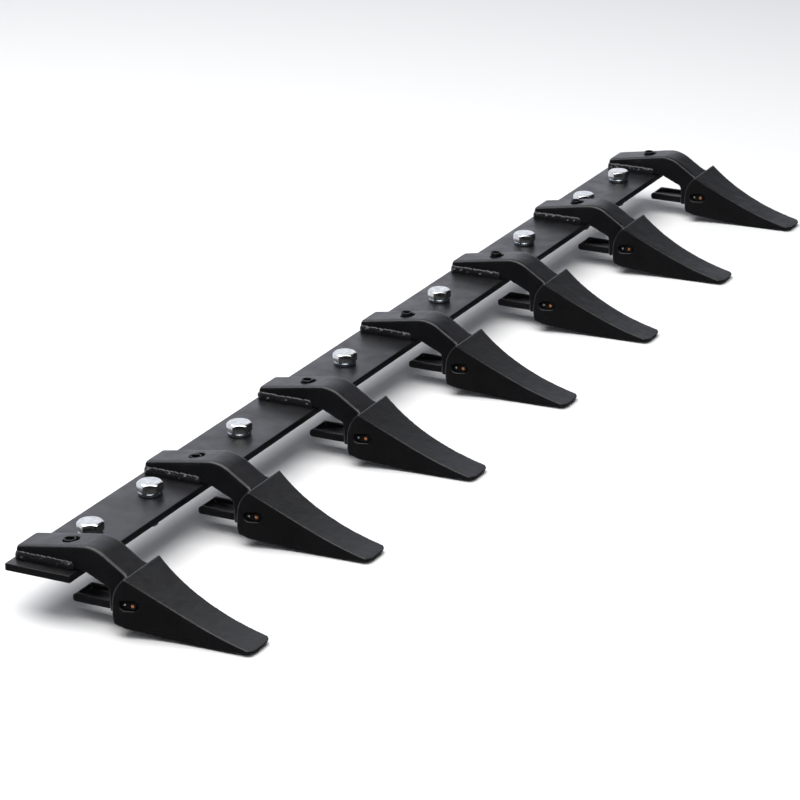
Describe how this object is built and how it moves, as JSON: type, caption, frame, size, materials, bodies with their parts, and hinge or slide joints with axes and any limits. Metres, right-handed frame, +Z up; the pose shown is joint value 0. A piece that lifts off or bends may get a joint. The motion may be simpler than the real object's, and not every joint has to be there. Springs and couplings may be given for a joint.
{
  "type": "bolt-on bucket tooth bar",
  "caption": "Flat bolt-on bar for a loader bucket's cutting edge, carrying a row of welded shanks with replaceable pointed digging teeth.",
  "frame": {"origin": "centre of the bar's underside, the face that rests on the bucket's cutting edge", "axes": "+X along the bar, -Y forward to the teeth's tips, +Z up through the bolt heads"},
  "size_m": [1.595, 0.2734, 0.0834],
  "materials": {
    "bar_paint": "satin black powder coat",
    "casting_paint": "matte black powder coat over a cast surface",
    "weld_paint": "black powder coat over weld beads",
    "zinc_plate": "bright zinc plate",
    "spring_steel": "blackened spring steel",
    "flex_pin": "copper-tinted steel halves bonded to black rubber"
  },
  "bodies": {
    "frame": {"bar": "bar_paint", "shank_1": "casting_paint", "tooth_1": "casting_paint", "weld_1": "weld_paint", "locating_pin_1": "spring_steel", "shank_2": "casting_paint", "tooth_2": "casting_paint", "weld_2": "weld_paint", "locating_pin_2": "spring_steel", "shank_3": "casting_paint", "tooth_3": "casting_paint", "weld_3": "weld_paint", "locating_pin_3": "spring_steel", "shank_4": "casting_paint", "tooth_4": "casting_paint", "weld_4": "weld_paint", "locating_pin_4": "spring_steel", "shank_5": "casting_paint", "tooth_5": "casting_paint", "weld_5": "weld_paint", "locating_pin_5": "spring_steel", "shank_6": "casting_paint", "tooth_6": "casting_paint", "weld_6": "weld_paint", "locating_pin_6": "spring_steel", "shank_7": "casting_paint", "tooth_7": "casting_paint", "weld_7": "weld_paint", "locating_pin_7": "spring_steel", "nut_1": "zinc_plate", "nut_2": "zinc_plate", "nut_3": "zinc_plate", "nut_4": "zinc_plate", "nut_5": "zinc_plate", "nut_6": "zinc_plate", "nut_7": "zinc_plate", "nut_8": "zinc_plate"},
    "flex_pin_1": {"flex_pin_1": "flex_pin"},
    "flex_pin_2": {"flex_pin_2": "flex_pin"},
    "flex_pin_3": {"flex_pin_3": "flex_pin"},
    "flex_pin_4": {"flex_pin_4": "flex_pin"},
    "flex_pin_5": {"flex_pin_5": "flex_pin"},
    "flex_pin_6": {"flex_pin_6": "flex_pin"},
    "flex_pin_7": {"flex_pin_7": "flex_pin"},
    "lock_washer_1": {"lock_washer_1": "zinc_plate"},
    "bolt_1": {"bolt_1": "zinc_plate"},
    "lock_washer_2": {"lock_washer_2": "zinc_plate"},
    "bolt_2": {"bolt_2": "zinc_plate"},
    "lock_washer_3": {"lock_washer_3": "zinc_plate"},
    "bolt_3": {"bolt_3": "zinc_plate"},
    "lock_washer_4": {"lock_washer_4": "zinc_plate"},
    "bolt_4": {"bolt_4": "zinc_plate"},
    "lock_washer_5": {"lock_washer_5": "zinc_plate"},
    "bolt_5": {"bolt_5": "zinc_plate"},
    "lock_washer_6": {"lock_washer_6": "zinc_plate"},
    "bolt_6": {"bolt_6": "zinc_plate"},
    "lock_washer_7": {"lock_washer_7": "zinc_plate"},
    "bolt_7": {"bolt_7": "zinc_plate"},
    "lock_washer_8": {"lock_washer_8": "zinc_plate"},
    "bolt_8": {"bolt_8": "zinc_plate"}
  },
  "joints": [
    {"name": "flex_pin_1_slide", "type": "slide", "parent": "frame", "child": "flex_pin_1", "axis": [-1, 0, 0], "range_m": [0, 0.072]},
    {"name": "flex_pin_2_slide", "type": "slide", "parent": "frame", "child": "flex_pin_2", "axis": [-1, 0, 0], "range_m": [0, 0.072]},
    {"name": "flex_pin_3_slide", "type": "slide", "parent": "frame", "child": "flex_pin_3", "axis": [-1, 0, 0], "range_m": [0, 0.072]},
    {"name": "flex_pin_4_slide", "type": "slide", "parent": "frame", "child": "flex_pin_4", "axis": [-1, 0, 0], "range_m": [0, 0.072]},
    {"name": "flex_pin_5_slide", "type": "slide", "parent": "frame", "child": "flex_pin_5", "axis": [-1, 0, 0], "range_m": [0, 0.072]},
    {"name": "flex_pin_6_slide", "type": "slide", "parent": "frame", "child": "flex_pin_6", "axis": [-1, 0, 0], "range_m": [0, 0.072]},
    {"name": "flex_pin_7_slide", "type": "slide", "parent": "frame", "child": "flex_pin_7", "axis": [-1, 0, 0], "range_m": [0, 0.072]},
    {"name": "bolt_1_lift", "type": "slide", "parent": "frame", "child": "lock_washer_1", "axis": [0, 0, 1], "range_m": [0, 0.02775]},
    {"name": "bolt_1_turn", "type": "hinge", "parent": "lock_washer_1", "child": "bolt_1", "pos_m": [-0.695, 0, 0.01], "axis": [0, 0, 1], "range_deg": [0, 4320]},
    {"name": "bolt_2_lift", "type": "slide", "parent": "frame", "child": "lock_washer_2", "axis": [0, 0, 1], "range_m": [0, 0.02775]},
    {"name": "bolt_2_turn", "type": "hinge", "parent": "lock_washer_2", "child": "bolt_2", "pos_m": [-0.575, 0, 0.01], "axis": [0, 0, 1], "range_deg": [0, 4320]},
    {"name": "bolt_3_lift", "type": "slide", "parent": "frame", "child": "lock_washer_3", "axis": [0, 0, 1], "range_m": [0, 0.02775]},
    {"name": "bolt_3_turn", "type": "hinge", "parent": "lock_washer_3", "child": "bolt_3", "pos_m": [-0.381, 0, 0.01], "axis": [0, 0, 1], "range_deg": [0, 4320]},
    {"name": "bolt_4_lift", "type": "slide", "parent": "frame", "child": "lock_washer_4", "axis": [0, 0, 1], "range_m": [0, 0.02775]},
    {"name": "bolt_4_turn", "type": "hinge", "parent": "lock_washer_4", "child": "bolt_4", "pos_m": [-0.127, 0, 0.01], "axis": [0, 0, 1], "range_deg": [0, 4320]},
    {"name": "bolt_5_lift", "type": "slide", "parent": "frame", "child": "lock_washer_5", "axis": [0, 0, 1], "range_m": [0, 0.02775]},
    {"name": "bolt_5_turn", "type": "hinge", "parent": "lock_washer_5", "child": "bolt_5", "pos_m": [0.127, 0, 0.01], "axis": [0, 0, 1], "range_deg": [0, 4320]},
    {"name": "bolt_6_lift", "type": "slide", "parent": "frame", "child": "lock_washer_6", "axis": [0, 0, 1], "range_m": [0, 0.02775]},
    {"name": "bolt_6_turn", "type": "hinge", "parent": "lock_washer_6", "child": "bolt_6", "pos_m": [0.381, 0, 0.01], "axis": [0, 0, 1], "range_deg": [0, 4320]},
    {"name": "bolt_7_lift", "type": "slide", "parent": "frame", "child": "lock_washer_7", "axis": [0, 0, 1], "range_m": [0, 0.02775]},
    {"name": "bolt_7_turn", "type": "hinge", "parent": "lock_washer_7", "child": "bolt_7", "pos_m": [0.575, 0, 0.01], "axis": [0, 0, 1], "range_deg": [0, 4320]},
    {"name": "bolt_8_lift", "type": "slide", "parent": "frame", "child": "lock_washer_8", "axis": [0, 0, 1], "range_m": [0, 0.02775]},
    {"name": "bolt_8_turn", "type": "hinge", "parent": "lock_washer_8", "child": "bolt_8", "pos_m": [0.695, 0, 0.01], "axis": [0, 0, 1], "range_deg": [0, 4320]}
  ],
  "couplings": [
    {"joint": "bolt_1_lift", "follows": "bolt_1_turn", "m_per_rad": 0.00036749},
    {"joint": "bolt_2_lift", "follows": "bolt_2_turn", "m_per_rad": 0.00036749},
    {"joint": "bolt_3_lift", "follows": "bolt_3_turn", "m_per_rad": 0.00036749},
    {"joint": "bolt_4_lift", "follows": "bolt_4_turn", "m_per_rad": 0.00036749},
    {"joint": "bolt_5_lift", "follows": "bolt_5_turn", "m_per_rad": 0.00036749},
    {"joint": "bolt_6_lift", "follows": "bolt_6_turn", "m_per_rad": 0.00036749},
    {"joint": "bolt_7_lift", "follows": "bolt_7_turn", "m_per_rad": 0.00036749},
    {"joint": "bolt_8_lift", "follows": "bolt_8_turn", "m_per_rad": 0.00036749}
  ]
}
